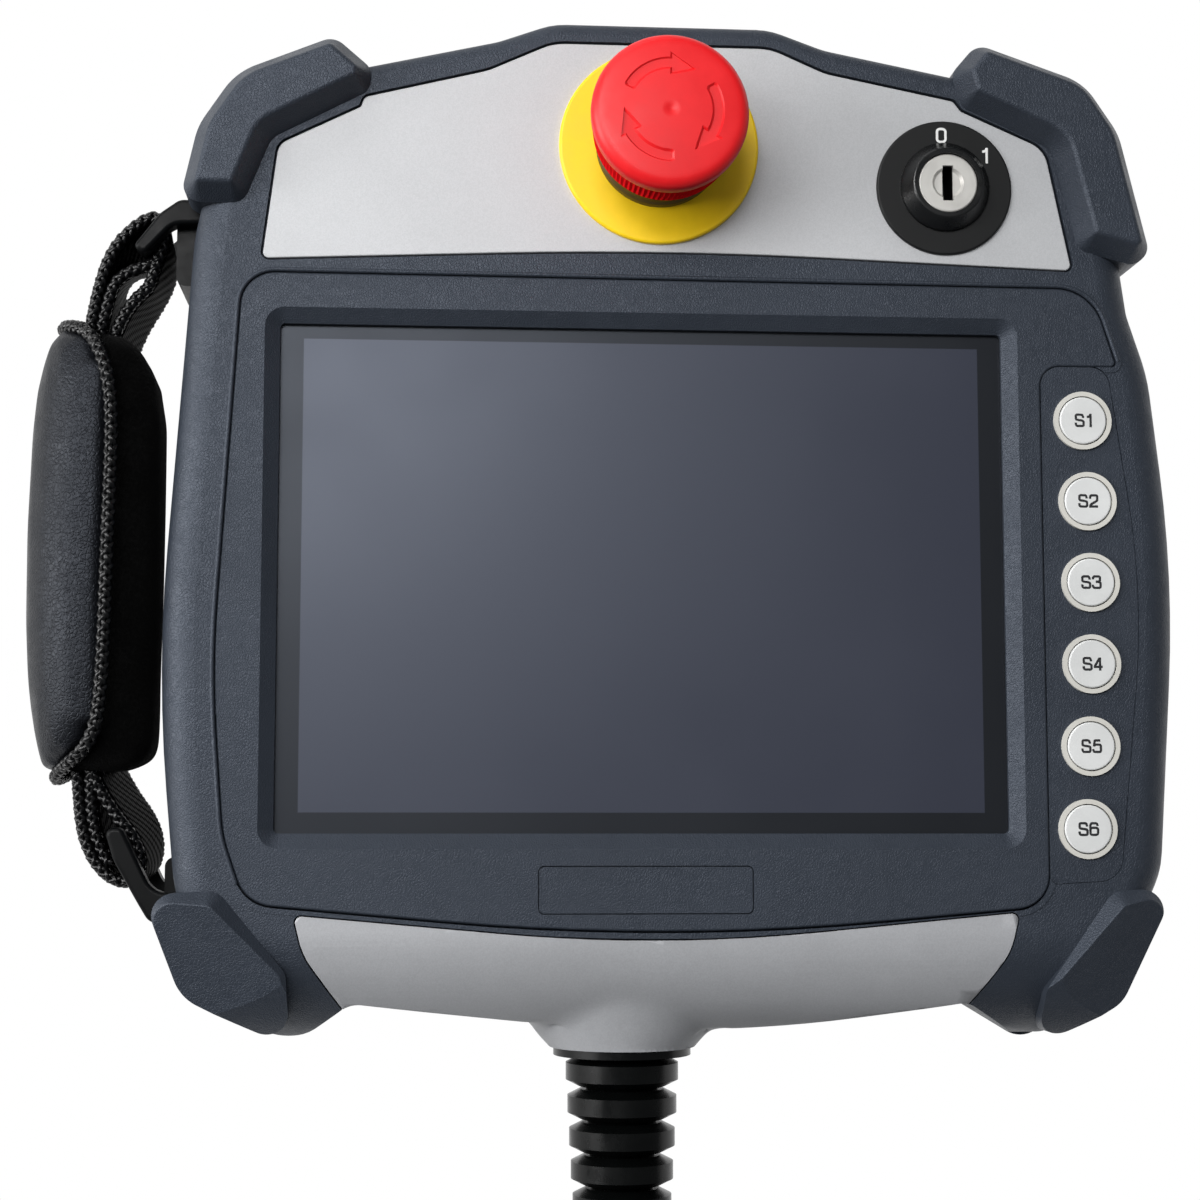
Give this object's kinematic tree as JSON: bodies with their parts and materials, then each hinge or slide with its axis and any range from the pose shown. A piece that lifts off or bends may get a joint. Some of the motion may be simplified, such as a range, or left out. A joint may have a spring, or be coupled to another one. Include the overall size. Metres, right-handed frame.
{
  "type": "handheld operator panel",
  "caption": "Handheld machine operator panel with a touch display, emergency stop, key switch, side keys, corner guards, padded hand strap and a cable with a round connector.",
  "frame": {"origin": "on the flat rear face that the panel rests on, behind the middle of its front", "axes": "+Z out of the screen, +Y to the edge with the emergency stop, +X to the side with the keys"},
  "size_m": [0.2877, 0.3904, 0.0711],
  "materials": {
    "housing_dark": "fine textured",
    "silver_paint": "satin",
    "touch_glass": "anti-glare",
    "black_plastic": "smooth",
    "display": "smooth",
    "steel": "satin",
    "board": "solder mask",
    "stop_red": "smooth",
    "stop_yellow": "printed",
    "collar_olive": "smooth",
    "key_white": "smooth",
    "key_ring": "smooth",
    "enable_grey": "fine textured",
    "seal_rubber": "matt",
    "cable_sheath": "matt",
    "webbing": "woven",
    "pad_leather": "grained",
    "pad_lining": "velvety"
  },
  "bodies": {
    "housing": {"bend_protection": "seal_rubber", "cable_coil": "cable_sheath", "cable_gland": "black_plastic", "cable_lead": "cable_sheath", "cable_tail": "cable_sheath", "coil_tie": "webbing", "control_plate": "silver_paint", "display_frame": "steel", "display_gasket": "seal_rubber", "display_module": "display", "enable_gasket": "seal_rubber", "enable_switch": "black_plastic", "frame_screws": "steel", "front_housing": "housing_dark", "guard_lower_left": "housing_dark", "guard_lower_right": "housing_dark", "guard_upper_left": "housing_dark", "guard_upper_right": "housing_dark", "housing_seal": "seal_rubber", "inner_lead": "cable_sheath", "key_board": "board", "key_panel": "housing_dark", "key_rings": "key_ring", "key_switches": "black_plastic", "lock_bezel": "black_plastic", "lock_contacts": "black_plastic", "lock_legend": "black_plastic", "lock_nut": "black_plastic", "lower_cover": "silver_paint", "main_board": "board", "name_plate": "housing_dark", "plug_insert": "black_plastic", "plug_shell": "steel", "rear_housing": "housing_dark", "rear_screws": "steel", "screen_bezel": "housing_dark", "stop_collar": "collar_olive", "stop_contacts": "black_plastic", "stop_disc": "stop_yellow", "stop_nut": "black_plastic", "strap_bracket_lower": "black_plastic", "strap_bracket_upper": "black_plastic", "strap_pad_cover": "pad_leather", "strap_pad_lining": "pad_lining", "strap_piping": "webbing", "strap_webbing_lower": "webbing", "strap_webbing_upper": "webbing", "touch_glass": "touch_glass"},
    "stop_button": {"stop_plunger": "steel"},
    "stop_cap": {"stop_head": "stop_red"},
    "lock": {"lock_cylinder": "steel"},
    "key_1": {"key_1": "key_white"},
    "key_2": {"key_2": "key_white"},
    "key_3": {"key_3": "key_white"},
    "key_4": {"key_4": "key_white"},
    "key_5": {"key_5": "key_white"},
    "key_6": {"key_6": "key_white"},
    "enable": {"enable_button": "enable_grey"},
    "coupling": {"plug_nut": "steel"}
  },
  "joints": [
    {"name": "stop_push", "type": "slide", "parent": "housing", "child": "stop_button", "axis": [0, 0, -1], "range_m": [0, 0.0045]},
    {"name": "stop_release", "type": "hinge", "parent": "stop_button", "child": "stop_cap", "pos_m": [-0.0008, 0.094, 0.063], "axis": [0, 0, 1], "range_deg": [-45, 0], "stiffness_Nm_per_rad": 0.02},
    {"name": "key_turn", "type": "hinge", "parent": "housing", "child": "lock", "pos_m": [0.0587, 0.0865, 0.046], "axis": [0, 0, 1], "range_deg": [-50, 0]},
    {"name": "key_1_press", "type": "slide", "parent": "housing", "child": "key_1", "axis": [0, 0, -1], "range_m": [0, 0.0008], "stiffness_N_per_m": 900, "springref_m": -0.0006},
    {"name": "key_2_press", "type": "slide", "parent": "housing", "child": "key_2", "axis": [0, 0, -1], "range_m": [0, 0.0008], "stiffness_N_per_m": 900, "springref_m": -0.0006},
    {"name": "key_3_press", "type": "slide", "parent": "housing", "child": "key_3", "axis": [0, 0, -1], "range_m": [0, 0.0008], "stiffness_N_per_m": 900, "springref_m": -0.0006},
    {"name": "key_4_press", "type": "slide", "parent": "housing", "child": "key_4", "axis": [0, 0, -1], "range_m": [0, 0.0008], "stiffness_N_per_m": 900, "springref_m": -0.0006},
    {"name": "key_5_press", "type": "slide", "parent": "housing", "child": "key_5", "axis": [0, 0, -1], "range_m": [0, 0.0008], "stiffness_N_per_m": 900, "springref_m": -0.0006},
    {"name": "key_6_press", "type": "slide", "parent": "housing", "child": "key_6", "axis": [0, 0, -1], "range_m": [0, 0.0008], "stiffness_N_per_m": 900, "springref_m": -0.0006},
    {"name": "enable_press", "type": "slide", "parent": "housing", "child": "enable", "axis": [0, 0, 1], "range_m": [0, 0.004], "stiffness_N_per_m": 1200, "springref_m": -0.001},
    {"name": "coupling_turn", "type": "hinge", "parent": "housing", "child": "coupling", "pos_m": [0.148, -0.256, 0.013], "axis": [1, 0, 0], "continuous": true}
  ]
}
